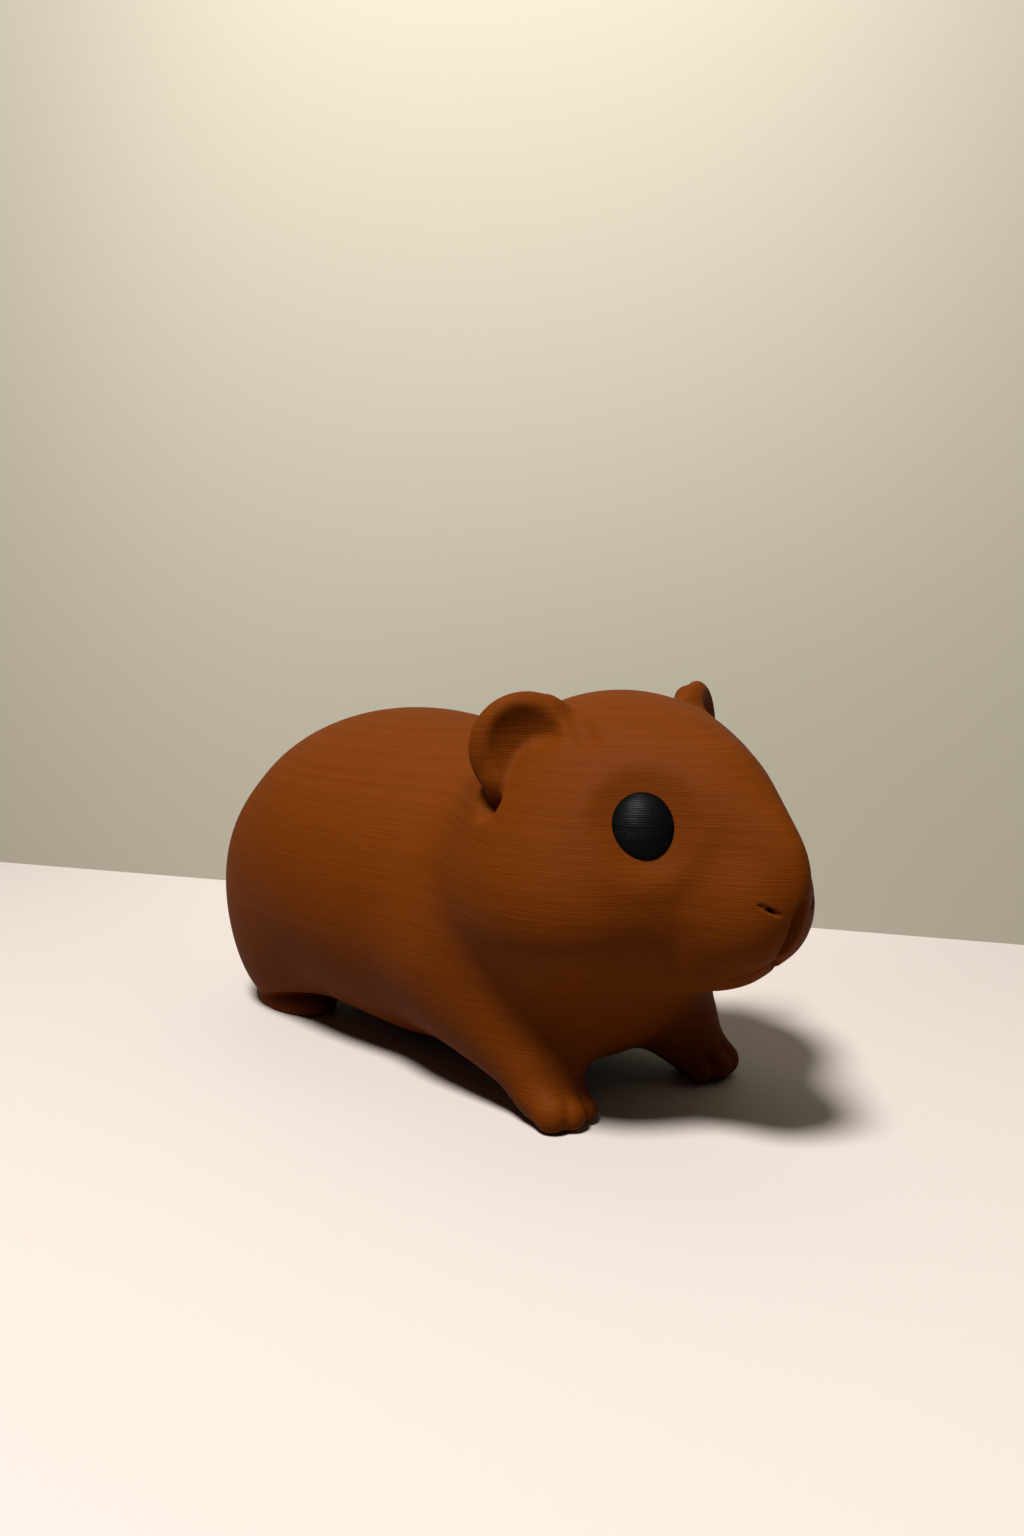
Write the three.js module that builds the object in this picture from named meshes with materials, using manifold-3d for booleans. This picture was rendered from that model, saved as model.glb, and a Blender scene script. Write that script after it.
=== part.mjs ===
// A small printed figurine of a guinea pig, standing still on its four feet.
//
// Millimetres. +X points to the nose, +Y to the animal's left and +Z up. The origin is on the floor, in the
// animal's mid-plane, below the middle of its length. The body is one soft form, blended from ovals and
// tapered limbs. It is meshed piece by piece and parted by thin cuts into head, ears, trunk and legs.

import * as THREE from 'three';
import { mergeVertices } from 'three/addons/utils/BufferGeometryUtils.js';
import Module from 'manifold-3d';

const wasm = await Module();
wasm.setup();

// ---- Driving dimensions ------------------------------------------------------------------------------

const GAP = 0.3; // clear space between two neighbouring pieces
const EAR_CLEARANCE = 0.6; // wider from ear to head, because the head's larger facets leave its form

// Soft masses of the body: the middle of each oval and its half sizes. A y other than 0 makes a pair.
const TRUNK = {
  rump: { at: [-18.7, 0, 19], size: [23.4, 21.7, 18.7] },
  barrel: { at: [-1, 0, 17.2], size: [27.8, 18.4, 17.3] },
  chest: { at: [14.3, 0, 16.8], size: [12, 11.5, 11] },
  haunch: { at: [-26.7, 13.4, 12.2], size: [9.9, 6.7, 12.8] },
};
const HEAD = {
  crown: { at: [20, 0, 29.8], size: [14.2, 15.4, 12.6] },
  cheek: { at: [21.5, 8.7, 22.8], size: [11.9, 9.7, 8.2] },
  muzzle: { at: [32.4, 0, 22.9], size: [9, 5.8, 7.4] },
  bridge: { at: [30.6, 0, 32.6], size: [8, 4.6, 5.3] },
  nose: { at: [38.3, 0, 26.6], size: [5.9, 3, 5.9] },
  jaw: { at: [31.3, 0, 17.9], size: [6.7, 5.6, 2.6] },
  lip: { at: [38.2, 2.2, 23.3], size: [4.1, 3.3, 4.8] },
};

// The near-round ear is a shallow bowl with a hanging lobe. A thick root joins its front edge to the head,
// and a dish in the head opens the bowl. Measures are in the ear's own frame: outward from the bowl,
// backward along it and up. The pocket below the lobe is measured from the body's origin.
const EAR = {
  at: [18.8, 11.2, 37.3],
  yaw: 30,
  bowl: { at: [0.7, 0.2, 0], size: [2, 5.6, 5.5] },
  lobe: { at: [1.3, 2.2, -2.9], size: [1.4, 2.1, 2] },
  hollow: { at: [6.6, 0.9, 1.1], size: [5.5, 5.9, 6.3] },
  root: { from: [0.2, -2, 3.9], to: [2.2, -5.3, 1.3], radii: [1.2, 1.7] },
  dish: { from: [3.4, 1.9, 2.8], to: [4, 4.5, -2.5], radii: [2.6, 2.2] },
  pocket: { at: [18.3, 15.6, 32.2], size: [1.6, 1.5, 1.6] },
};

// The eye is an oval bead sunk in a shallow socket, which has a soft raised ring round it.
const EYE = {
  at: [32.71, 8.87, 31.35],
  gaze: [0.69, 0.64, 0.33],
  size: [2.1, 3.4, 3.5],
  sink: 1.5,
  socket: { depth: 0.5, radius: 4.3, swell: 0.16, ring: 5.8, spread: 1.5 },
};

const FORELEG = {
  leg: { from: [8, 9.7, 13.1], to: [19.2, 11, 5.2], radii: [7.3, 3.5] },
  paw: { at: [21.4, 10.5, 2.4], size: [2.9, 2.9, 3] },
  toes: [
    { from: [21.2, 12, 3.2], to: [23.9, 12.1, 1.7], radii: [1.95, 1.85] },
    { from: [20.8, 10.3, 3.4], to: [24.8, 10.4, 1.5], radii: [1.9, 1.55] },
    { from: [20.2, 8.5, 3.2], to: [24.3, 8.3, 1.3], radii: [1.6, 1.3] },
  ],
};
// The belly arches clear of the floor over this oval.
const ARCH = { at: [-5.9, 0, -9.5], size: [34, 14.5, 10.4] };
// The haunch is cut away above the floor, and the hind foot stands back below it.
const SOLE = { at: [-13, 18.5, -3], size: [18.5, 12.5, 7.2] };
const HINDFOOT = { at: [-26.8, 12.8, 0.6], size: [7.5, 4.1, 2.4] };

// Fine cuts in the muzzle: the cleft of the upper lip and one nostril slit on each side. The nostril's
// first half size lies along its way and its last is its half width.
const CLEFT = { at: [46.4, 0, 20], size: [5.2, 1.3, 6.2] };
const NOSTRIL = { at: [42.6, 2.85, 24.35], way: [0.553, -0.737, -0.46], size: [1.1, 1.6, 0.21] };

// How far each pair of masses runs softly into the next.
const SOFT = { trunk: 9, haunch: 5, head: 7, nose: 4, jaw: 3.5, lip: 2.5, neck: 6, lobe: 1, hollow: 0.5,
  root: 1.5, dish: 1, pocket: 0.8, arch: 4, leg: 6, paw: 2.5, toe: 0.8, web: 0.35 };

// Ovals that part the head and the legs from the trunk.
const PARTING = {
  head: { at: [27, 0, 29], size: [21, 26, 17.5] },
  foreleg: { at: [17.5, 11, 3], size: [10.5, 8.5, 10] },
  hindleg: { at: [-26.5, 15.5, 9.5], size: [13.5, 9.5, 14.5] },
};

// Size of one mesh cell on each kind of piece.
const CELL = { trunk: 3.8, head: 2.35, ear: 1, foreleg: 1.8, hindleg: 2.7 };

// Sides of the round solids: the ovals that part the body, the cut over the hind foot, the foot itself, the
// lip's cleft, the nostrils and the eyes.
const FACETS = { parting: 18, sole: 18, foot: 16, cleft: 14, nostril: 8, eye: 16 };

const COLOURS = { body: 0x7a3c12, eye: 0x0b0a0a };

// ---- Fields: each gives the distance to a form's surface, negative inside ----------------------------

const oval = ({ at, size }) => (x, y, z) => {
  const dx = (x - at[0]) / size[0];
  const dy = (y - at[1]) / size[1];
  const dz = (z - at[2]) / size[2];
  const reach = Math.max(Math.hypot(dx, dy, dz), 1e-6);
  return (reach * (reach - 1)) / Math.max(Math.hypot(dx / size[0], dy / size[1], dz / size[2]), 1e-9);
};

/** A limb with round ends of two radii and a straight taper between them. */
const limb = ({ from, to, radii }) => {
  const axis = new THREE.Vector3(...to).sub(new THREE.Vector3(...from));
  const length = axis.length();
  axis.normalize();
  const taper = (radii[0] - radii[1]) / length;
  const slope = Math.sqrt(1 - taper * taper);
  return (x, y, z) => {
    const dx = x - from[0];
    const dy = y - from[1];
    const dz = z - from[2];
    const along = dx * axis.x + dy * axis.y + dz * axis.z;
    const aside = Math.sqrt(Math.max(dx * dx + dy * dy + dz * dz - along * along, 0));
    const place = along * slope - aside * taper;
    if (place < 0) return Math.hypot(along, aside) - radii[0];
    if (place > length * slope) return Math.hypot(along - length, aside) - radii[1];
    return aside * slope + along * taper - radii[0];
  };
};

const softMin = (a, b, reach) => Math.min(a, b) - Math.max(reach - Math.abs(a - b), 0) ** 2 / (4 * reach);

const blend = (reach, ...forms) => (x, y, z) =>
  forms.slice(1).reduce((d, form) => softMin(d, form(x, y, z), reach), forms[0](x, y, z));

const carve = (reach, form, tool) => (x, y, z) => -softMin(-form(x, y, z), tool(x, y, z), reach);

const paired = (form) => (x, y, z) => form(x, Math.abs(y), z);

const grown = (form, by) => (x, y, z) => form(x, y, z) - by;

/** Places a form that is measured in the ear's own frame on both sides of the head. */
const inEarFrame = (form) => {
  const turn = THREE.MathUtils.degToRad(EAR.yaw);
  const cos = Math.cos(turn);
  const sin = Math.sin(turn);
  return (x, y, z) => {
    const dx = x - EAR.at[0];
    const dy = Math.abs(y) - EAR.at[1];
    return form(dx * cos + dy * sin, dy * cos - dx * sin, z - EAR.at[2]);
  };
};

// ---- The animal's forms ------------------------------------------------------------------------------

const trunkForm = blend(
  SOFT.haunch,
  carve(
    SOFT.arch,
    blend(SOFT.trunk, oval(TRUNK.rump), oval(TRUNK.barrel), oval(TRUNK.chest)),
    oval(ARCH),
  ),
  paired(oval(TRUNK.haunch)),
);

const earForm = carve(
  SOFT.hollow,
  inEarFrame(blend(SOFT.lobe, oval(EAR.bowl), oval(EAR.lobe))),
  inEarFrame(oval(EAR.hollow)),
);

/** The unit vector that the eye looks along, on the left side. */
const gaze = () => new THREE.Vector3(...EYE.gaze).normalize();

/** How much the head's surface drops round the eye, less the soft ring that stands up round it. */
const socket = () => {
  const look = gaze();
  const offset = new THREE.Vector3();
  const { depth, radius, swell, ring, spread } = EYE.socket;
  return (x, y, z) => {
    offset.set(x - EYE.at[0], Math.abs(y) - EYE.at[1], z - EYE.at[2]);
    if (offset.length() > 2 * ring) return 0;
    const off = Math.sqrt(Math.max(offset.lengthSq() - offset.dot(look) ** 2, 0));
    return depth * Math.exp(-((off / radius) ** 4)) - swell * Math.exp(-(((off - ring) / spread) ** 2));
  };
};

const skullForm = () => {
  const skull = blend(
    SOFT.head, oval(HEAD.crown), paired(oval(HEAD.cheek)), oval(HEAD.muzzle), oval(HEAD.bridge));
  const chin = blend(SOFT.jaw, blend(SOFT.nose, skull, oval(HEAD.nose)), oval(HEAD.jaw));
  const smooth = blend(SOFT.lip, chin, paired(oval(HEAD.lip)));
  const drop = socket();
  return (x, y, z) => smooth(x, y, z) + drop(x, y, z);
};

/** The head without its ears: their roots stand on it and their dishes and pockets are cut into it. */
const headForm = () => {
  const rooted = blend(SOFT.root, skullForm(), inEarFrame(limb(EAR.root)));
  const dished = carve(SOFT.dish, rooted, inEarFrame(limb(EAR.dish)));
  return carve(SOFT.pocket, dished, paired(oval(EAR.pocket)));
};

const forelegForm = () => {
  const toes = blend(SOFT.web, ...FORELEG.toes.map(limb));
  return paired(blend(SOFT.toe, blend(SOFT.paw, limb(FORELEG.leg), oval(FORELEG.paw)), toes));
};

const face = headForm();
const body = blend(SOFT.leg, blend(SOFT.neck, trunkForm, face), forelegForm());

// ---- Meshing: surface nets, with each point moved onto the form --------------------------------------

const STEP_TO_SURFACE = 3; // Newton steps for each point
const CORNERS = [[0, 0, 0], [1, 0, 0], [0, 1, 0], [1, 1, 0], [0, 0, 1], [1, 0, 1], [0, 1, 1], [1, 1, 1]];

const slopeOf = (form, p, h) => new THREE.Vector3(
  form(p.x + h, p.y, p.z) - form(p.x - h, p.y, p.z),
  form(p.x, p.y + h, p.z) - form(p.x, p.y - h, p.z),
  form(p.x, p.y, p.z + h) - form(p.x, p.y, p.z - h),
).divideScalar(2 * h);

/** Moves a point onto the form's surface, at most one cell away. */
const settle = (form, point, cell) => {
  const start = point.clone();
  for (let step = 0; step < STEP_TO_SURFACE; step += 1) {
    const slope = slopeOf(form, point, 0.02);
    point.addScaledVector(slope, -form(point.x, point.y, point.z) / Math.max(slope.lengthSq(), 0.2));
  }
  return point.sub(start).clampLength(0, cell / 2).add(start);
};

/** Meshes the part of a form that lies inside a box, as one closed manifold solid. */
const mesh = (form, box, cell) => {
  const counts = box.max.clone().sub(box.min).divideScalar(cell).ceil().addScalar(3).toArray();
  const [nx, ny, nz] = counts;
  const at = (i, j, k) => (k * ny + j) * nx + i;
  const corner = (i, j, k) => new THREE.Vector3(i - 1, j - 1, k - 1).multiplyScalar(cell).add(box.min);
  const values = new Float64Array(nx * ny * nz).fill(1);
  for (let k = 1; k < nz - 1; k += 1) {
    for (let j = 1; j < ny - 1; j += 1) {
      for (let i = 1; i < nx - 1; i += 1) values[at(i, j, k)] = form(...corner(i, j, k).toArray());
    }
  }

  const points = [];
  const pointOfCell = new Map();
  const netPoint = (i, j, k) => {
    const key = at(i, j, k);
    if (pointOfCell.has(key)) return pointOfCell.get(key);
    const sum = new THREE.Vector3();
    let crossings = 0;
    for (const a of CORNERS) {
      for (let axis = 0; axis < 3; axis += 1) {
        if (a[axis] === 1) continue;
        const b = a.map((step, n) => (n === axis ? 1 : step));
        const va = values[at(i + a[0], j + a[1], k + a[2])];
        const vb = values[at(i + b[0], j + b[1], k + b[2])];
        if (va < 0 === vb < 0) continue;
        const start = corner(i + a[0], j + a[1], k + a[2]);
        sum.add(start.lerp(corner(i + b[0], j + b[1], k + b[2]), va / (va - vb)));
        crossings += 1;
      }
    }
    const point = settle(form, sum.divideScalar(crossings), cell);
    pointOfCell.set(key, points.push(point) - 1);
    return points.length - 1;
  };

  const triangles = [];
  const facet = (a, b, c, d) => {
    const short = points[a].distanceTo(points[c]) <= points[b].distanceTo(points[d]);
    triangles.push(...(short ? [a, b, c, a, c, d] : [a, b, d, b, c, d]));
  };
  const ring = [[-1, -1], [0, -1], [0, 0], [-1, 0]];
  for (let k = 0; k < nz - 1; k += 1) {
    for (let j = 0; j < ny - 1; j += 1) {
      for (let i = 0; i < nx - 1; i += 1) {
        const here = values[at(i, j, k)];
        for (let axis = 0; axis < 3; axis += 1) {
          const step = [0, 1, 2].map((n) => (n === axis ? 1 : 0));
          const next = values[at(i + step[0], j + step[1], k + step[2])];
          if (here < 0 === next < 0) continue;
          const around = ring.map(([s, t]) => {
            const cellAt = [i, j, k];
            cellAt[(axis + 1) % 3] += s;
            cellAt[(axis + 2) % 3] += t;
            return netPoint(...cellAt);
          });
          facet(...(here < 0 ? around : around.reverse()));
        }
      }
    }
  }
  return solidFrom(points.flatMap((p) => p.toArray()), triangles);
};

const solidFrom = (positions, triangles) => new wasm.Manifold(new wasm.Mesh({
  numProp: 3,
  vertProperties: new Float32Array(positions),
  triVerts: new Uint32Array(triangles),
}));

// ---- Solids for cutting, made from three.js geometry -------------------------------------------------

const solidOf = (geometry) => {
  const bare = geometry.clone();
  bare.deleteAttribute('normal');
  bare.deleteAttribute('uv');
  const merged = mergeVertices(bare, 1e-4);
  return solidFrom(merged.attributes.position.array, merged.index.array);
};

const ovalGeometry = ({ at, size }, grow, facets) => new THREE.SphereGeometry(1, facets, facets / 2)
  .rotateX(Math.PI / 2)
  .scale(...size.map((half) => half + grow))
  .translate(...at);

const ovalSolid = (form, grow, facets) => solidOf(ovalGeometry(form, grow, facets));

const onSide = ({ at, size }, side) => ({ at: [at[0], at[1] * side, at[2]], size });

const boxSolid = (min, max) => solidOf(new THREE.BoxGeometry(...max.map((high, n) => high - min[n]))
  .translate(...max.map((high, n) => (high + min[n]) / 2)));

/** An oval whose first axis lies along a way and whose second lies level. */
const turnedOval = (middle, way, size, facets) => {
  const level = new THREE.Vector3(-way.y, way.x, 0).normalize();
  return new THREE.SphereGeometry(1, facets, facets / 2)
    .rotateX(Math.PI / 2)
    .scale(...size)
    .applyMatrix4(new THREE.Matrix4().makeBasis(way, level, way.clone().cross(level)))
    .translate(...middle.toArray());
};

/** The oval bead of the left eye in place: its thin axis lies along the gaze. */
const eyeGeometry = (grow) => {
  const look = gaze();
  const middle = new THREE.Vector3(...EYE.at).addScaledVector(look, -EYE.sink);
  return turnedOval(middle, look, EYE.size.map((half) => half + grow), FACETS.eye);
};

const nostrilGeometry = () => turnedOval(
  new THREE.Vector3(...NOSTRIL.at),
  new THREE.Vector3(...NOSTRIL.way).normalize(),
  NOSTRIL.size,
  FACETS.nostril,
);

/** Reflects a geometry through the mid-plane and turns its faces out again. */
const mirrored = (geometry) => {
  const flipped = geometry.clone().scale(1, -1, 1);
  const order = flipped.index.array;
  for (let t = 0; t < order.length; t += 3) [order[t], order[t + 1]] = [order[t + 1], order[t]];
  return flipped;
};

// ---- The pieces --------------------------------------------------------------------------------------

const SIDES = { left: 1, right: -1 };
const floorLine = boxSolid([-60, -40, 0], [60, 40, 60]);

/** The box round an oval, with room to spare, where that piece is meshed. */
const roomOf = ({ at, size }, spare) => {
  const middle = new THREE.Vector3(...at);
  const half = new THREE.Vector3(...size).addScalar(spare);
  return new THREE.Box3(middle.clone().sub(half), middle.clone().add(half));
};

const pieceInside = (parting, cell) => mesh(body, roomOf(parting, 3 * cell), cell)
  .intersect(ovalSolid(parting, -GAP / 2, FACETS.parting))
  .intersect(floorLine);

const makeHead = () => {
  const cuts = [eyeGeometry(GAP), nostrilGeometry()];
  return [...cuts, ...cuts.map(mirrored)].reduce(
    (solid, cut) => solid.subtract(solidOf(cut)),
    pieceInside(PARTING.head, CELL.head).subtract(ovalSolid(CLEFT, 0, FACETS.cleft)),
  );
};

const makeTrunk = () => {
  const room = new THREE.Box3(new THREE.Vector3(-46, -26, -4), new THREE.Vector3(50, 26, 48));
  return Object.values(SIDES).reduce(
    (solid, side) => solid
      .subtract(ovalSolid(onSide(PARTING.foreleg, side), GAP / 2, FACETS.parting))
      .subtract(ovalSolid(onSide(PARTING.hindleg, side), GAP / 2, FACETS.parting))
      .subtract(ovalSolid(onSide(SOLE, side), 0, FACETS.sole)),
    mesh(body, room, CELL.trunk)
      .intersect(floorLine)
      .subtract(ovalSolid(PARTING.head, GAP / 2, FACETS.parting)),
  );
};

const makeHindleg = () => {
  const foot = ovalSolid(HINDFOOT, 0, FACETS.foot)
    .intersect(ovalSolid(PARTING.hindleg, -GAP / 2, FACETS.parting))
    .intersect(floorLine);
  return pieceInside(PARTING.hindleg, CELL.hindleg)
    .subtract(ovalSolid(SOLE, 0, FACETS.sole))
    .add(foot);
};

const makeEar = () => {
  const room = roomOf({ at: EAR.at, size: [8, 8, 8] }, 0);
  return mesh(earForm, room, CELL.ear).subtract(mesh(grown(face, EAR_CLEARANCE), room, CELL.ear));
};

/** Wraps a finished solid or geometry as one named mesh. */
const named = (name, geometry, finish) => {
  const piece = new THREE.Mesh(geometry, new THREE.MeshStandardMaterial(finish));
  piece.name = name;
  return piece;
};

const geometryOf = (solid) => {
  const { numProp, vertProperties, triVerts } = solid.getMesh();
  const geometry = new THREE.BufferGeometry();
  geometry.setAttribute('position', new THREE.BufferAttribute(vertProperties, numProp));
  geometry.setIndex(new THREE.BufferAttribute(triVerts, 1));
  geometry.computeVertexNormals();
  return geometry;
};

/** A left piece and its mirror image on the right. */
const bothSides = (word, geometry, finish) => [
  named(`${word}_left`, geometry, finish),
  named(`${word}_right`, mirrored(geometry), finish),
];

const BROWN = { color: COLOURS.body, roughness: 0.62, metalness: 0 };
const BLACK = { color: COLOURS.eye, roughness: 0.3, metalness: 0 };

const figurine = new THREE.Group();
figurine.name = 'guinea_pig';
figurine.add(named('trunk', geometryOf(makeTrunk()), BROWN));
figurine.add(named('head', geometryOf(makeHead()), BROWN));
figurine.add(...bothSides('ear', geometryOf(makeEar()), BROWN));
figurine.add(...bothSides('eye', eyeGeometry(0), BLACK));
figurine.add(...bothSides('foreleg', geometryOf(pieceInside(PARTING.foreleg, CELL.foreleg)), BROWN));
figurine.add(...bothSides('hindleg', geometryOf(makeHindleg()), BROWN));

// The origin goes below the middle of the figurine.
figurine.position.x = -new THREE.Box3().setFromObject(figurine).getCenter(new THREE.Vector3()).x;

export default figurine;
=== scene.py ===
import math

import bmesh
import bpy
import numpy as np
from bpy.props import FloatProperty, FloatVectorProperty, IntProperty, PointerProperty
from bpy.types import Operator, Panel, PropertyGroup
from mathutils import Matrix, Vector


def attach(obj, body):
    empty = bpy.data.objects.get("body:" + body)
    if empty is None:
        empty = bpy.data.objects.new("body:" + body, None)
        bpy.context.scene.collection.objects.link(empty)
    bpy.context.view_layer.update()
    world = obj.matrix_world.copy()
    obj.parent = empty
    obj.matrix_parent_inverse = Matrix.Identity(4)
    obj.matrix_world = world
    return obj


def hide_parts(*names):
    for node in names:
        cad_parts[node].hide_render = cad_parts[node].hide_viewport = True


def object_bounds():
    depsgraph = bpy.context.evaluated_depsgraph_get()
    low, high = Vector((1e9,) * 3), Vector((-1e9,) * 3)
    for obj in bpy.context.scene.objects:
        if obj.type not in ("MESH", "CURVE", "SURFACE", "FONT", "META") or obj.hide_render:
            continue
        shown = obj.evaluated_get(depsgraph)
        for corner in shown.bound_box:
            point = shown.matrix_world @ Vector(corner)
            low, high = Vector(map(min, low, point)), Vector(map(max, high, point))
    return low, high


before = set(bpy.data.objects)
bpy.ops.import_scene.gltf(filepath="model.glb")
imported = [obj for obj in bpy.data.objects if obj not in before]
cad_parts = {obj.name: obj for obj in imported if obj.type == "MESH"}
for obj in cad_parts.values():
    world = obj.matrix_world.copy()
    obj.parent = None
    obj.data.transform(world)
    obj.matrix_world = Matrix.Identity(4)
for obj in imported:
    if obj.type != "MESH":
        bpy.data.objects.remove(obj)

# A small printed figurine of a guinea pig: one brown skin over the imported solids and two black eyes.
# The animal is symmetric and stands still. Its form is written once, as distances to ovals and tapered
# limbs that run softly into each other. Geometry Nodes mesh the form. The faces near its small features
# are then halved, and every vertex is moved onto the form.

bl_info = {
    "name": "Printed guinea pig figurine",
    "version": (1, 0, 0),
    "blender": (4, 5, 0),
    "location": "3D View > Sidebar > Figurine",
    "description": "Makes a printed guinea pig figurine with its floor, light and camera",
    "category": "Add Mesh",
}

# ---- Frame and units ---------------------------------------------------------------------------------
# The forms below are drawn in design units, with the origin on the floor in the mid-plane, X towards the
# nose and Z up. DESIGN_LENGTH is the figurine's length in those units, and DESIGN_MIDDLE the middle of that
# length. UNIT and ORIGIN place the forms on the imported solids.

CAD_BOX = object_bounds()
LOW, HIGH = (Vector(corner) for corner in CAD_BOX)
BODY_LENGTH = HIGH.x - LOW.x
DESIGN_LENGTH = 86.096
DESIGN_MIDDLE = 1.091
UNIT = BODY_LENGTH / DESIGN_LENGTH
ORIGIN = Vector(((LOW.x + HIGH.x) / 2 - DESIGN_MIDDLE * UNIT, (LOW.y + HIGH.y) / 2, LOW.z))

# The sign of Y on each side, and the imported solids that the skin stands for
SIDES = {"left": 1, "right": -1}
FLESH = ["trunk", "head", *(f"{part}_{side}" for part in ("ear", "foreleg", "hindleg") for side in SIDES)]


def placed(point):
    """A design point in metres, in the frame."""
    return ORIGIN + Vector(point) * UNIT


# ---- Node trees written as expressions -----------------------------------------------------------------

class Wire:
    """A node's output, used like a number or a vector: each operation on it adds a maths node."""

    def __init__(self, tree, socket):
        self.tree = tree
        self.socket = socket

    def __add__(self, other):
        return self.tree.maths("ADD", self, other)

    __radd__ = __add__

    def __mul__(self, other):
        return self.tree.maths("MULTIPLY", self, other)

    __rmul__ = __mul__

    def __sub__(self, other):
        return self.tree.maths("SUBTRACT", self, other)

    def __rsub__(self, other):
        return self.tree.maths("SUBTRACT", other, self)

    def __truediv__(self, other):
        return self.tree.maths("DIVIDE", self, other)

    def __rtruediv__(self, other):
        return self.tree.maths("DIVIDE", other, self)

    def __pow__(self, power):
        return self.tree.maths("POWER", self, power)

    def __neg__(self):
        return self.tree.maths("MULTIPLY", self, -1.0)

    def least(self, other):
        return self.tree.maths("MINIMUM", self, other)

    def most(self, other):
        return self.tree.maths("MAXIMUM", self, other)

    def square_root(self):
        return self.tree.maths("SQRT", self)

    def absolute(self):
        return self.tree.maths("ABSOLUTE", self)

    def bell(self):
        return self.tree.maths("EXPONENT", -self)

    def length(self):
        return self.tree.add("ShaderNodeVectorMath", {"operation": "LENGTH"}, {0: self}, "Value")

    def along(self, way):
        inputs = {0: self, 1: way}
        return self.tree.add("ShaderNodeVectorMath", {"operation": "DOT_PRODUCT"}, inputs, "Value")

    def beside(self, output):
        """Another output of the same node, by its name or number."""
        return Wire(self.tree, self.socket.node.outputs[output])

    def parts(self):
        split = self.tree.add("ShaderNodeSeparateXYZ", {}, {0: self})
        return [split.beside(axis) for axis in "XYZ"]


def vector_like(value):
    return value.socket.type == "VECTOR" if isinstance(value, Wire) else isinstance(value, tuple)


class Tree:
    """Adds nodes to one node tree."""

    def __init__(self, graph):
        self.graph = graph

    def add(self, kind, options=None, inputs=None, output=0):
        """Adds a node: its options first, then its inputs as values or wires. Gives one of its outputs."""
        node = self.graph.nodes.new(kind)
        for name, value in (options or {}).items():
            setattr(node, name, value)
        for name, value in (inputs or {}).items():
            if isinstance(value, Wire):
                self.graph.links.new(value.socket, node.inputs[name])
            else:
                node.inputs[name].default_value = value
        return Wire(self, node.outputs[output]) if node.outputs else None

    def maths(self, operation, *values):
        kind = "ShaderNodeVectorMath" if any(map(vector_like, values)) else "ShaderNodeMath"
        return self.add(kind, {"operation": operation}, dict(enumerate(values)))

    def vector(self, x, y, z):
        return self.add("ShaderNodeCombineXYZ", {}, {0: x, 1: y, 2: z})

    def even(self, value):
        """A vector that holds one value three times."""
        return self.vector(value, value, value)

    def mix(self, amount, first, second):
        """A colour between two colours. A mix node has sockets of all kinds: those of colour are 6, 7 and,
        for the result, 2."""
        return self.add("ShaderNodeMix", {"data_type": "RGBA"}, {0: amount, 6: first, 7: second}, 2)


# ---- Forms: distances that work on node wires and on arrays of points alike --------------------------

def either(name, on_array):
    """A function that adds nodes for a wire, and works out arrays for anything else."""
    def work(value, *more):
        return getattr(value, name)(*more) if isinstance(value, Wire) else on_array(value, *more)
    return work


# Keeps an oval's distance from a division by nought at its middle
TINY = 1e-6

length = either("length", lambda v: np.linalg.norm(v, axis=-1))
along = either("along", lambda v, way: v @ np.array(way))
square_root = either("square_root", np.sqrt)
absolute = either("absolute", np.abs)
least = either("least", np.minimum)
most = either("most", np.maximum)
bell = either("bell", lambda v: np.exp(-v))
parts = either("parts", lambda v: [v[..., 0], v[..., 1], v[..., 2]])


def vector(x, y, z):
    return x.tree.vector(x, y, z) if isinstance(x, Wire) else np.stack([x, y, z], axis=-1)


def oval(p, at, half):
    """Distance to an oval from its middle and its half sizes."""
    step = (p - at) / half
    reach = length(step)
    return reach * (reach - 1.0) / most(length(step / half), TINY)


def limb(p, start, end, radii):
    """Distance to a limb with round ends of two radii and a straight taper between them."""
    axis = Vector(end) - Vector(start)
    taper = (radii[0] - radii[1]) / axis.length
    lean = taper / math.sqrt(1 - taper * taper)
    offset = p - start
    forth = along(offset, tuple(axis.normalized()))
    reach = length(offset)
    aside = square_root(most(reach * reach - forth * forth, 0.0))
    at = least(most((forth - aside * lean) / axis.length, 0.0), 1.0)
    rest = forth - at * axis.length
    return square_root(rest * rest + aside * aside) - radii[0] + at * (radii[0] - radii[1])


def blend(reach, first, *others):
    """Joins forms with a soft valley between them."""
    for other in others:
        overlap = most(reach - absolute(first - other), 0.0)
        first = least(first, other) - overlap * overlap / (4 * reach)
    return first


def carve(reach, form, tool):
    """Cuts a tool out of a form, with a soft edge."""
    return -blend(reach, -form, tool)


# ---- The animal --------------------------------------------------------------------------------------
# An oval is its middle and its half sizes. A limb is its two ends and its two radii. Everything is drawn on
# the animal's left side, and the form is the same on both sides.

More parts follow.
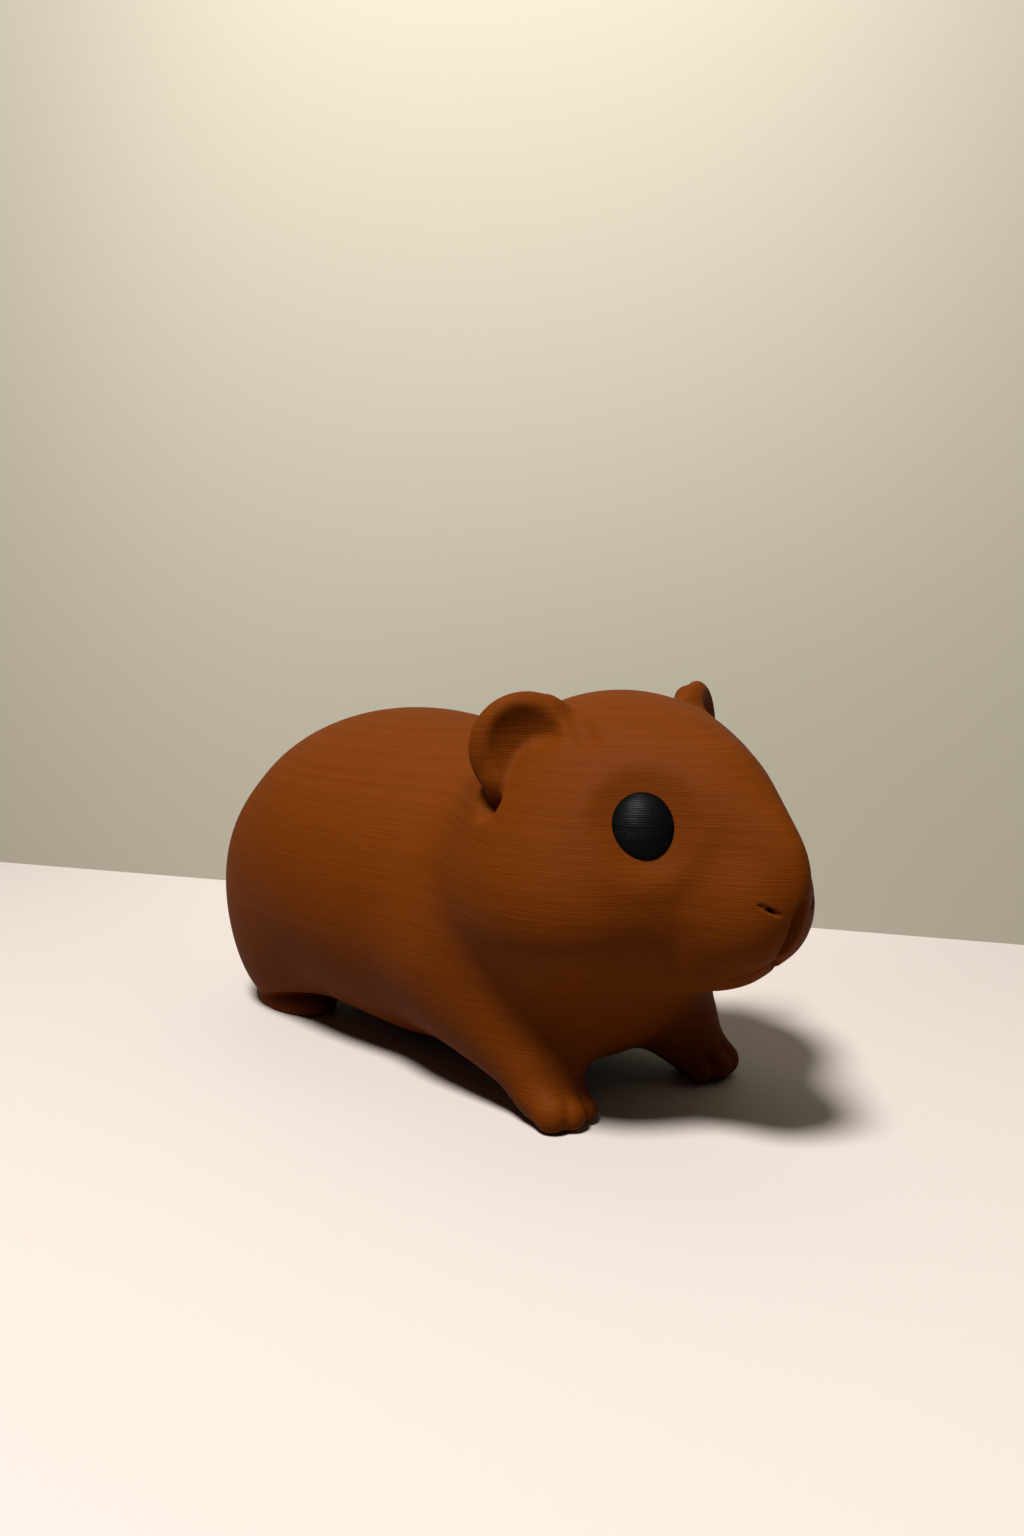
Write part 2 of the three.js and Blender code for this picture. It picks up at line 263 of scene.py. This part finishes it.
RUMP = (-18.7, 0, 19), (23.4, 21.7, 18.7)
BARREL = (-1, 0, 17.2), (27.8, 18.4, 17.3)
CHEST = (14.3, 0, 16.8), (12, 11.5, 11)
HAUNCH = (-26.7, 13.4, 12.2), (9.9, 6.7, 12.8)
SOLE = (-13, 18.5, -3), (18.5, 12.5, 7.2)
ARCH = (-5.9, 0, -9.5), (34, 14.5, 10.4)
CROWN = (20, 0, 29.8), (14.2, 15.4, 12.6)
CHEEK = (21.5, 8.7, 22.8), (11.9, 9.7, 8.2)
MUZZLE = (32.4, 0, 22.9), (9, 5.8, 7.4)
NOSE = (38.3, 0, 26.6), (5.9, 3, 5.9)
BRIDGE = (30.6, 0, 32.6), (8, 4.6, 5.3)
JAW = (31.3, 0, 17.9), (6.7, 5.6, 2.6)
LIP = (38.2, 2.2, 23.3), (4.1, 3.3, 4.8)
CLEFT = (46.4, 0, 20), (5.2, 1.3, 6.2)
NOSTRIL_AT = (42.55, 2.9, 24.5)
NOSTRIL_WAY = Vector((0.553, -0.737, -0.46)).normalized()
NOSTRIL_HALF = (1.05, 1.4, 0.2)
MOUTH = (40.9, 0, 18.9), (37, 4.4, 16.3), (0.3, 0.1)

EAR_AT = (18.8, 11.2, 37.3)
EAR_YAW = math.radians(30)
EAR_BOWL = (0.7, 0.2, 0), (2, 5.6, 5.5)
EAR_LOBE = (1.3, 2.2, -2.9), (1.4, 2.1, 2)
EAR_HOLLOW = (6.6, 0.9, 1.1), (5.5, 5.9, 6.3)
EAR_ROOT = (0.2, -2, 3.9), (2.2, -5.3, 1.3), (1.2, 1.7)
EAR_CREASE = (23.1, 8.8, 41.7), (26.0, 9.8, 38.9), (1.5, 1.1)
EAR_CUP = (21.7, 11.9, 39.3), (1.6, 1.5, 1.6)
EAR_DISH = (3.4, 1.9, 2.8), (4, 4.5, -2.5), (2.6, 2.2)
EAR_POCKET = (18.3, 15.6, 32.2), (1.6, 1.5, 1.6)

EYE_AT = (32.71, 8.87, 31.35)
EYE_GAZE = Vector((0.69, 0.64, 0.33)).normalized()
EYE_HALF = (2.1, 3.4, 3.5)
EYE_SINK = 1.5
SOCKET_DEPTH, SOCKET_RADIUS = 0.5, 4.3
SWELL_HEIGHT, SWELL_RADIUS, SWELL_WIDTH = 0.16, 5.8, 1.5

FORELEG = (8, 9.7, 13.1), (19.2, 11, 5.2), (7.3, 3.5)
PAW = (21.4, 10.5, 2.4), (2.9, 2.9, 3)
TOES = (((21.2, 12, 3.2), (23.9, 12.1, 1.7), (1.95, 1.85)),
        ((20.8, 10.3, 3.4), (24.8, 10.4, 1.5), (1.9, 1.55)),
        ((20.2, 8.5, 3.2), (24.3, 8.3, 1.3), (1.6, 1.3)))
HINDFOOT = (-26.8, 12.8, 0.6), (7.5, 4.1, 2.4)

# How far each soft join or cut reaches
TRUNK_SOFT, ARCH_SOFT, HAUNCH_SOFT, SOLE_SOFT = 9, 4, 5, 0.6
SKULL_SOFT, NOSE_SOFT, JAW_SOFT, LIP_SOFT = 7, 4, 3.5, 2.5
MOUTH_SOFT, NOSTRIL_SOFT = 0.3, 0.3
EAR_LOBE_SOFT, EAR_HOLLOW_SOFT, EAR_ROOT_SOFT, EAR_FLAP_SOFT = 1, 0.5, 1.5, 0.5
EAR_GROOVE_SOFT, EAR_PIT_SOFT = 1, 0.8
PAW_SOFT, TOE_SOFT, TOE_ROOT_SOFT = 2.5, 0.35, 0.8
NECK_SOFT, FORELEG_SOFT, HINDFOOT_SOFT = 6, 6, 0.4

# Where the skin's faces are halved, in this order: a middle and a radius, on both sides
FINE_SPOTS = (
    ((42, 0, 22.5), 5.5),  # the lips
    ((42.2, 3, 24.5), 2.4),  # the nostril
    ((42, 0, 22.5), 4.5),  # the lips once more
    ((24, 9.8, 1.5), 3.6),  # the toes
    (EAR_AT, 7.5),
)

# Cells left free between the body and the edge of its volume
SPARE_CELLS = 3

# How vertices are moved onto the form: the number of moves, the step that its slope is measured over, the
# farthest move and the least slope that counts
SETTLE_MOVES = 3
SETTLE_PROBE = 0.01
SETTLE_FARTHEST = 0.25
SETTLE_LEAST_SLOPE = 0.5


def trunk(p):
    belly = blend(TRUNK_SOFT, oval(p, *RUMP), oval(p, *BARREL), oval(p, *CHEST))
    whole = blend(HAUNCH_SOFT, carve(ARCH_SOFT, belly, oval(p, *ARCH)), oval(p, *HAUNCH))
    return carve(SOLE_SOFT, whole, oval(p, *SOLE))


def socket_drop(p):
    """How far the face drops round the eye, less the soft ring that stands up round it."""
    offset = p - EYE_AT
    reach = length(offset)
    forth = along(offset, tuple(EYE_GAZE))
    off = square_root(most(reach * reach - forth * forth, 0.0))
    bowl = bell((off / SOCKET_RADIUS) ** 4) * SOCKET_DEPTH
    ring = bell(((off - SWELL_RADIUS) / SWELL_WIDTH) ** 2) * SWELL_HEIGHT
    near = bell((reach / (2 * SWELL_RADIUS)) ** 6)
    return (bowl - ring) * near


def ear_frame(p):
    """A point in the ear's own frame: forward out of its hollow, sideways along it and up."""
    x, y, z = parts(p - EAR_AT)
    cos, sin = math.cos(EAR_YAW), math.sin(EAR_YAW)
    return vector(x * cos + y * sin, y * cos - x * sin, z)


def ear_flap(q):
    """The thin flap, from points in the ear's own frame."""
    leaf = blend(EAR_LOBE_SOFT, oval(q, *EAR_BOWL), oval(q, *EAR_LOBE))
    return carve(EAR_HOLLOW_SOFT, leaf, oval(q, *EAR_HOLLOW))


def head(p):
    skull = blend(SKULL_SOFT, oval(p, *CROWN), oval(p, *CHEEK), oval(p, *MUZZLE), oval(p, *BRIDGE))
    chin = blend(JAW_SOFT, blend(NOSE_SOFT, skull, oval(p, *NOSE)), oval(p, *JAW))
    face = blend(LIP_SOFT, chin, oval(p, *LIP)) + socket_drop(p)
    q = ear_frame(p)
    rooted = blend(EAR_ROOT_SOFT, face, limb(q, *EAR_ROOT))
    for groove, pit in ((limb(q, *EAR_DISH), oval(p, *EAR_POCKET)),
                        (limb(p, *EAR_CREASE), oval(p, *EAR_CUP))):
        rooted = carve(EAR_PIT_SOFT, carve(EAR_GROOVE_SOFT, rooted, groove), pit)
    return blend(EAR_FLAP_SOFT, rooted, ear_flap(q))


def foreleg(p):
    toes = blend(TOE_SOFT, *(limb(p, *toe) for toe in TOES))
    return blend(TOE_ROOT_SOFT, blend(PAW_SOFT, limb(p, *FORELEG), oval(p, *PAW)), toes)


def nostril(p):
    """A thin slit that runs inward and down towards the lip."""
    level = Vector((-NOSTRIL_WAY.y, NOSTRIL_WAY.x, 0)).normalized()
    axes = NOSTRIL_WAY, level, NOSTRIL_WAY.cross(level)
    offset = p - NOSTRIL_AT
    return oval(vector(*(along(offset, tuple(axis)) for axis in axes)), (0, 0, 0), NOSTRIL_HALF)


def figure(p):
    """Distance from design points to the whole brown body, negative inside."""
    x, y, z = parts(p)
    p = vector(x, absolute(y), z)
    body = blend(NECK_SOFT, trunk(p), head(p))
    body = blend(HINDFOOT_SOFT, body, oval(p, *HINDFOOT))
    body = blend(FORELEG_SOFT, body, foreleg(p))
    body = carve(MOUTH_SOFT, body, limb(p, *MOUTH))
    body = carve(NOSTRIL_SOFT, most(body, -oval(p, *CLEFT)), nostril(p))
    return most(body, -z)


# ---- Settings ----------------------------------------------------------------------------------------

class BodySettings(PropertyGroup):
    """The brown printed body."""
    cell: FloatProperty(name="Cell", description="Size of one face of the skin", default=0.5 * UNIT,
                        unit="LENGTH", precision=5)
    layer: FloatProperty(name="Layer", description="Height of one printed layer", default=0.2 * UNIT,
                         unit="LENGTH", precision=5)
    relief: FloatProperty(name="Relief", description="How far each layer stands out", default=0.03 * UNIT,
                          unit="LENGTH", precision=6)
    brown: FloatVectorProperty(name="Brown", description="Colour of the plastic", subtype="COLOR",
                               default=(0.083, 0.0172, 0.0008), min=0, max=1)
    roughness: FloatProperty(name="Roughness", description="Roughness of the plastic", default=0.6,
                             min=0, max=1, subtype="FACTOR")


class EyeSettings(PropertyGroup):
    """The black eyes."""
    black: FloatVectorProperty(name="Black", description="Colour of the eyes", subtype="COLOR",
                               default=(0.0012, 0.0012, 0.0013), min=0, max=1)
    roughness: FloatProperty(name="Roughness", description="Roughness of the eyes", default=0.42,
                             min=0, max=1, subtype="FACTOR")
    sides: IntProperty(name="Sides", description="Faces round one eye", default=96, min=16)


class StageSettings(PropertyGroup):
    """The floor, the wall, the light and the camera."""
    floor: FloatVectorProperty(name="Floor", description="Colour of the floor", subtype="COLOR",
                               default=(0.4, 0.352, 0.318), min=0, max=1)
    wall: FloatVectorProperty(name="Wall", description="Colour of the wall", subtype="COLOR",
                              default=(0.27, 0.249, 0.194), min=0, max=1)
    key: FloatProperty(name="Key light", description="Power of the key light", default=6.4, unit="POWER")
    glow: FloatProperty(name="Glow", description="Power of the light on the wall", default=4.5, unit="POWER")
    sky: FloatProperty(name="Sky", description="Strength of the light from all round", default=0.03)
    lens: FloatProperty(name="Lens", description="Focal length on a 36 mm high frame", default=29.3,
                        unit="CAMERA")


# ---- Making pieces -----------------------------------------------------------------------------------

def settings(name):
    return getattr(bpy.context.scene, name)


def linked(name, data):
    """A new object in the scene that holds a mesh, a light or a camera."""
    holder = bpy.data.objects.new(name, data)
    bpy.context.collection.objects.link(holder)
    return holder


def body_tree(material):
    """The node tree that fills the body's form with a volume and wraps a mesh round it."""
    group = bpy.data.node_groups.new("Body form", "GeometryNodeTree")
    sockets = group.interface
    for name in ("Low", "High", "Origin"):
        sockets.new_socket(name, in_out="INPUT", socket_type="NodeSocketVector")
    for name in ("Unit", "Cell"):
        sockets.new_socket(name, in_out="INPUT", socket_type="NodeSocketFloat").default_value = 1
    sockets.new_socket("Geometry", in_out="OUTPUT", socket_type="NodeSocketGeometry")
    tree = Tree(group)
    given = tree.add("NodeGroupInput")
    low, high, origin, unit, cell = (given.beside(n) for n in ("Low", "High", "Origin", "Unit", "Cell"))
    spot = (tree.add("GeometryNodeInputPosition") - origin) * tree.even(1.0 / unit)
    across, deep, tall = parts((high - low) * tree.even(1.0 / cell))
    volume = tree.add("GeometryNodeVolumeCube", {}, {
        "Density": -figure(spot), "Background": -1.0, "Min": low, "Max": high,
        "Resolution X": across, "Resolution Y": deep, "Resolution Z": tall})
    skin = tree.add("GeometryNodeVolumeToMesh", {"resolution_mode": "GRID"},
                    {"Volume": volume, "Threshold": 0.0, "Adaptivity": 0.0})
    smooth = tree.add("GeometryNodeSetShadeSmooth", {}, {"Geometry": skin})
    real = tree.add("GeometryNodeRealizeInstances", {}, {"Geometry": smooth})
    done = tree.add("GeometryNodeSetMaterial", {}, {"Geometry": real, "Material": material})
    tree.add("NodeGroupOutput", {}, {"Geometry": done})
    return group


def meshed(name, group, given):
    """Evaluates a node tree on an empty mesh, with its inputs given by name, and keeps the result."""
    carrier = linked(name, bpy.data.meshes.new(name))
    form = carrier.modifiers.new("Form", "NODES")
    form.node_group = group
    for item in group.interface.items_tree:
        if item.in_out == "INPUT":
            form[item.identifier] = given[item.name]
    graph = bpy.context.evaluated_depsgraph_get()
    mesh = bpy.data.meshes.new_from_object(carrier.evaluated_get(graph))
    carrier.modifiers.clear()
    carrier.data = mesh
    return carrier


def design_points(mesh):
    """A mesh's vertices as an array of design points."""
    flat = np.empty(len(mesh.vertices) * 3)
    mesh.vertices.foreach_get("co", flat)
    return (flat.reshape(-1, 3) - np.array(ORIGIN)) / UNIT


def settle(mesh):
    """Moves each vertex onto the form's surface."""
    points = design_points(mesh)
    for _ in range(SETTLE_MOVES):
        value = figure(points)
        slope = np.stack([
            figure(points + SETTLE_PROBE * axis) - figure(points - SETTLE_PROBE * axis) for axis in np.eye(3)
        ], axis=1) / (2 * SETTLE_PROBE)
        steepness = np.maximum((slope ** 2).sum(axis=1), SETTLE_LEAST_SLOPE ** 2)
        shift = slope * (value / steepness)[:, None]
        points -= np.clip(shift, -SETTLE_FARTHEST, SETTLE_FARTHEST)
    points[:, 2] = np.maximum(points[:, 2], 0)
    mesh.vertices.foreach_set("co", (points * UNIT + np.array(ORIGIN)).ravel())
    mesh.update()


def refine(mesh, spots):
    """Halves the faces that lie within each spot's radius, on both sides."""
    bm = bmesh.new()
    bm.from_mesh(mesh)
    for at, reach in spots:
        near = set()
        for side in SIDES.values():
            middle = placed((at[0], at[1] * side, at[2]))
            near.update(f for f in bm.faces if (f.calc_center_median() - middle).length < reach * UNIT)
        edges = list({e for f in near for e in f.edges})
        bmesh.ops.subdivide_edges(bm, edges=edges, cuts=1, use_grid_fill=True)
    bmesh.ops.triangulate(bm, faces=[f for f in bm.faces if len(f.verts) > 4])
    for f in bm.faces:
        f.smooth = True
    bm.to_mesh(mesh)
    bm.free()


def eye_mesh(name, sign, sides):
    """An oval bead that looks along the gaze, on the side that the sign gives."""
    mesh = bpy.data.meshes.new(name)
    bm = bmesh.new()
    bmesh.ops.create_uvsphere(bm, u_segments=sides, v_segments=sides // 2, radius=1)
    gaze = Vector((EYE_GAZE.x, EYE_GAZE.y * sign, EYE_GAZE.z))
    across = Vector((-gaze.y, gaze.x, 0)).normalized()
    turn = Matrix((gaze, across, gaze.cross(across))).transposed().to_4x4()
    middle = placed(Vector((EYE_AT[0], EYE_AT[1] * sign, EYE_AT[2])) - gaze * EYE_SINK)
    half = Matrix.Diagonal((*EYE_HALF, 1 / UNIT)) * UNIT
    bmesh.ops.transform(bm, verts=bm.verts, matrix=Matrix.Translation(middle) @ turn @ half)
    bmesh.ops.recalc_face_normals(bm, faces=bm.faces)
    for f in bm.faces:
        f.smooth = True
    bm.to_mesh(mesh)
    bm.free()
    return mesh


# ---- Materials ---------------------------------------------------------------------------------------
# Scales count a noise's waves in one design unit. Every noise swings about NOISE_MIDDLE.

NOISE_MIDDLE = 0.5
WAVER_SCALE, WAVER_DETAIL = 0.25, 2.0
WAVER_REACH = 0.8
BEAD_LEAST, BEAD_SPREAD = 0.4, 0.6
STREAK_LEVEL_SCALE, STREAK_UP_SCALE = 0.3, 5.0
STREAK_DETAIL, STREAK_GRAIN = 4.0, 0.6
STREAK_RELIEF = 1.6
STREAK_TINT, LAYER_TINT = 0.85, 0.3
DARKEST, LIGHTEST = 0.82, 1.2
ROUGHNESS_SPREAD = 0.2
BROWN_GLOSS, BLACK_GLOSS, STAGE_GLOSS = 0.02, 0.045, 0.2


def new_material(name):
    material = bpy.data.materials.new(name)
    material.use_nodes = True
    material.node_tree.nodes.clear()
    return material, Tree(material.node_tree)


def finish_surface(tree, surface):
    tree.add("ShaderNodeOutputMaterial", {}, {"Surface": surface})


def print_lines(tree, layer, relief):
    """The bump of printed layers, a mask of streaks along them and a chance number for each layer."""
    spot = tree.add("ShaderNodeTexCoord", {}, {}, "Object") * (1 / UNIT, 1 / UNIT, 1 / UNIT)
    x, y, z = parts(spot)
    waver = tree.add("ShaderNodeTexNoise", {}, {
        "Vector": spot, "Scale": WAVER_SCALE, "Detail": WAVER_DETAIL})
    height = z / (layer / UNIT) + (waver - NOISE_MIDDLE) * WAVER_REACH
    across = tree.maths("FRACT", height) * 2.0 - 1.0
    bead = square_root(most(1.0 - across ** 2, 0.0))
    chance = tree.add("ShaderNodeTexWhiteNoise", {"noise_dimensions": "1D"},
                      {"W": tree.maths("FLOOR", height)}, "Value")
    stretched = tree.vector(x * STREAK_LEVEL_SCALE, y * STREAK_LEVEL_SCALE, z * STREAK_UP_SCALE)
    streak = tree.add("ShaderNodeTexNoise", {}, {
        "Vector": stretched, "Scale": 1.0, "Detail": STREAK_DETAIL, "Roughness": STREAK_GRAIN})
    profile = bead * (chance * BEAD_SPREAD + BEAD_LEAST) + streak * STREAK_RELIEF
    bump = tree.add("ShaderNodeBump", {}, {"Strength": 1.0, "Distance": relief, "Height": profile}, "Normal")
    return bump, streak, chance


def printed_surface(tree, colour, roughness, gloss, streak, bump):
    """The plastic of a print, a little rougher or smoother along its streaks."""
    finish_surface(tree, tree.add("ShaderNodeBsdfPrincipled", {}, {
        "Base Color": colour, "Roughness": (streak - NOISE_MIDDLE) * ROUGHNESS_SPREAD + roughness,
        "Specular IOR Level": gloss, "Normal": bump}))


def brown_plastic():
    values = settings("figurine_body")
    material, tree = new_material("Brown plastic")
    bump, streak, chance = print_lines(tree, values.layer, values.relief)
    tint = (streak - NOISE_MIDDLE) * STREAK_TINT + (chance - NOISE_MIDDLE) * LAYER_TINT + NOISE_MIDDLE
    dark, light = ((*(part * shade for part in values.brown), 1) for shade in (DARKEST, LIGHTEST))
    colour = tree.mix(tint, dark, light)
    printed_surface(tree, colour, values.roughness, BROWN_GLOSS, streak, bump)
    return material


def black_plastic():
    values = settings("figurine_eyes")
    body = settings("figurine_body")
    material, tree = new_material("Black plastic")
    bump, streak, _ = print_lines(tree, body.layer, body.relief)
    printed_surface(tree, (*values.black, 1), values.roughness, BLACK_GLOSS, streak, bump)
    return material


def plain(name, colour, roughness):
    """A plain material that shows only on the side its faces look to, so it hides nothing from behind."""
    material, tree = new_material(name)
    front = tree.add("ShaderNodeBsdfPrincipled", {}, {
        "Base Color": (*colour, 1), "Roughness": roughness, "Specular IOR Level": STAGE_GLOSS})
    behind = tree.add("ShaderNodeNewGeometry", {}, {}, "Backfacing")
    clear = tree.add("ShaderNodeBsdfTransparent")
    finish_surface(tree, tree.add("ShaderNodeMixShader", {}, {0: behind, 1: front, 2: clear}))
    return material


# ---- Stage -------------------------------------------------------------------------------------------
# Places are design points, and distances are worked out from the body's length.

WALL_FOOT = (-138, -18, 0), (17.1, 85.5, 0)
ROOM_SPREAD = 12 * BODY_LENGTH
FLOOR_ROUGHNESS, WALL_ROUGHNESS = 0.6, 0.8
KEY_AIM = (10, 0, 20)
KEY_AZIMUTH, KEY_HEIGHT = math.radians(20), math.radians(65)
KEY_AWAY = 6 * BODY_LENGTH
KEY_SPREAD = 1.4 * BODY_LENGTH
GLOW_AT, GLOW_AIM = (60, -90, 330), (-58, 46, 128)
GLOW_ANGLE = math.radians(44)
GLOW_SPREAD = 0.3 * BODY_LENGTH
SKY_COLOUR = (1, 0.97, 0.92, 1)
CAMERA_AT = (113.18, -86.76, 52.06)
CAMERA_DIP, CAMERA_TURN = math.radians(7.925), math.radians(52.011)
CAMERA_NEAREST = 0.01 * BODY_LENGTH
FRAME_HEIGHT = 36


def room(values):
    """A floor, and a wall whose foot runs across it behind the figurine."""
    left, right = (placed(point) for point in WALL_FOOT)
    middle = (left + right) / 2
    run = (right - left).normalized()
    back = Vector((-run.y, run.x, 0))
    up = Vector((0, 0, 1))
    for name, rise, start, material in (
        ("floor", back, -ROOM_SPREAD, plain("Floor", values.floor, FLOOR_ROUGHNESS)),
        ("wall", up, 0, plain("Wall", values.wall, WALL_ROUGHNESS)),
    ):
        ends = [(-ROOM_SPREAD, start), (ROOM_SPREAD, start), (ROOM_SPREAD, ROOM_SPREAD),
                (-ROOM_SPREAD, ROOM_SPREAD)]
        mesh = bpy.data.meshes.new(name)
        mesh.from_pydata([tuple(middle + run * a + rise * b) for a, b in ends], [], [(0, 1, 2, 3)])
        mesh.materials.append(material)
        linked(name, mesh)


def shine(light, place, target):
    """Puts a light at a place, shining at its target."""
    lamp = linked(light.name, light)
    lamp.location = place
    lamp.rotation_euler = (place - target).to_track_quat("Z", "Y").to_euler()


def key_light(power):
    """The broad light from high up on the animal's right side."""
    light = bpy.data.lights.new("Key", "AREA")
    light.shape = "DISK"
    light.energy = power
    light.size = KEY_SPREAD
    level = math.cos(KEY_HEIGHT)
    way = Vector((math.sin(KEY_AZIMUTH) * level, -math.cos(KEY_AZIMUTH) * level, math.sin(KEY_HEIGHT)))
    target = placed(KEY_AIM)
    shine(light, target + way * KEY_AWAY, target)


def glow_light(power):
    """The soft spot on the wall."""
    light = bpy.data.lights.new("Glow", "SPOT")
    light.energy = power
    light.spot_size = GLOW_ANGLE
    light.spot_blend = 1
    light.shadow_soft_size = GLOW_SPREAD
    shine(light, placed(GLOW_AT), placed(GLOW_AIM))


def sky(strength):
    """The faint light from all round."""
    world = bpy.data.worlds.new("Room")
    world.use_nodes = True
    inputs = world.node_tree.nodes["Background"].inputs
    inputs["Color"].default_value = SKY_COLOUR
    inputs["Strength"].default_value = strength
    return world


def camera(lens):
    """The camera, in front of the animal and to its right."""
    view = bpy.data.cameras.new("Camera")
    view.sensor_fit = "VERTICAL"
    view.sensor_height = FRAME_HEIGHT
    view.lens = lens
    view.clip_start = CAMERA_NEAREST
    holder = linked("Camera", view)
    holder.location = placed(CAMERA_AT)
    holder.rotation_euler = (math.pi / 2 - CAMERA_DIP, 0, CAMERA_TURN)
    return holder


# ---- Operators ---------------------------------------------------------------------------------------

class FIGURINE_OT_body(Operator):
    """Makes the brown body as one skin"""
    bl_idname = "figurine.body"
    bl_label = "Body"

    def execute(self, context):
        values = settings("figurine_body")
        margin = Vector((1, 1, 1)) * SPARE_CELLS * values.cell
        body = meshed("body", body_tree(brown_plastic()), {
            "Low": LOW - margin, "High": HIGH + margin, "Origin": ORIGIN, "Unit": UNIT, "Cell": values.cell})
        refine(body.data, FINE_SPOTS)
        settle(body.data)
        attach(body, "root")
        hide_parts(*FLESH)
        return {"FINISHED"}


class FIGURINE_OT_eyes(Operator):
    """Makes the two black eyes"""
    bl_idname = "figurine.eyes"
    bl_label = "Eyes"

    def execute(self, context):
        values = settings("figurine_eyes")
        material = black_plastic()
        for side, sign in SIDES.items():
            mesh = eye_mesh(f"eye_{side}", sign, values.sides)
            mesh.materials.append(material)
            eye = linked(f"eyeball_{side}", mesh)
            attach(eye, "root")
            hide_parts(f"eye_{side}")
        return {"FINISHED"}


class FIGURINE_OT_stage(Operator):
    """Makes the floor, the wall, the light and the camera"""
    bl_idname = "figurine.stage"
    bl_label = "Stage"

    def execute(self, context):
        values = settings("figurine_stage")
        room(values)
        key_light(values.key)
        glow_light(values.glow)
        context.scene.world = sky(values.sky)
        context.scene.camera = camera(values.lens)
        context.scene.view_settings.view_transform = "Standard"
        return {"FINISHED"}


class VIEW3D_PT_figurine(Panel):
    """Lists what the figurine is made of"""
    bl_label = "Figurine"
    bl_space_type = "VIEW_3D"
    bl_region_type = "UI"
    bl_category = "Figurine"

    def draw(self, context):
        for kind in OPERATORS:
            self.layout.operator(kind.bl_idname)
        for name, group in SETTINGS.items():
            box = self.layout.box()
            for prop in group.__annotations__:
                box.prop(getattr(context.scene, name), prop)


OPERATORS = [FIGURINE_OT_body, FIGURINE_OT_eyes, FIGURINE_OT_stage]
SETTINGS = {"figurine_body": BodySettings, "figurine_eyes": EyeSettings, "figurine_stage": StageSettings}


def register():
    for kind in (*SETTINGS.values(), *OPERATORS, VIEW3D_PT_figurine):
        bpy.utils.register_class(kind)
    for name, group in SETTINGS.items():
        setattr(bpy.types.Scene, name, PointerProperty(type=group))


def unregister():
    for name in SETTINGS:
        delattr(bpy.types.Scene, name)
    for kind in reversed((*SETTINGS.values(), *OPERATORS, VIEW3D_PT_figurine)):
        bpy.utils.unregister_class(kind)


def main():
    register()
    bpy.ops.figurine.body()
    bpy.ops.figurine.eyes()
    bpy.ops.figurine.stage()


if __name__ == "__main__":
    main()
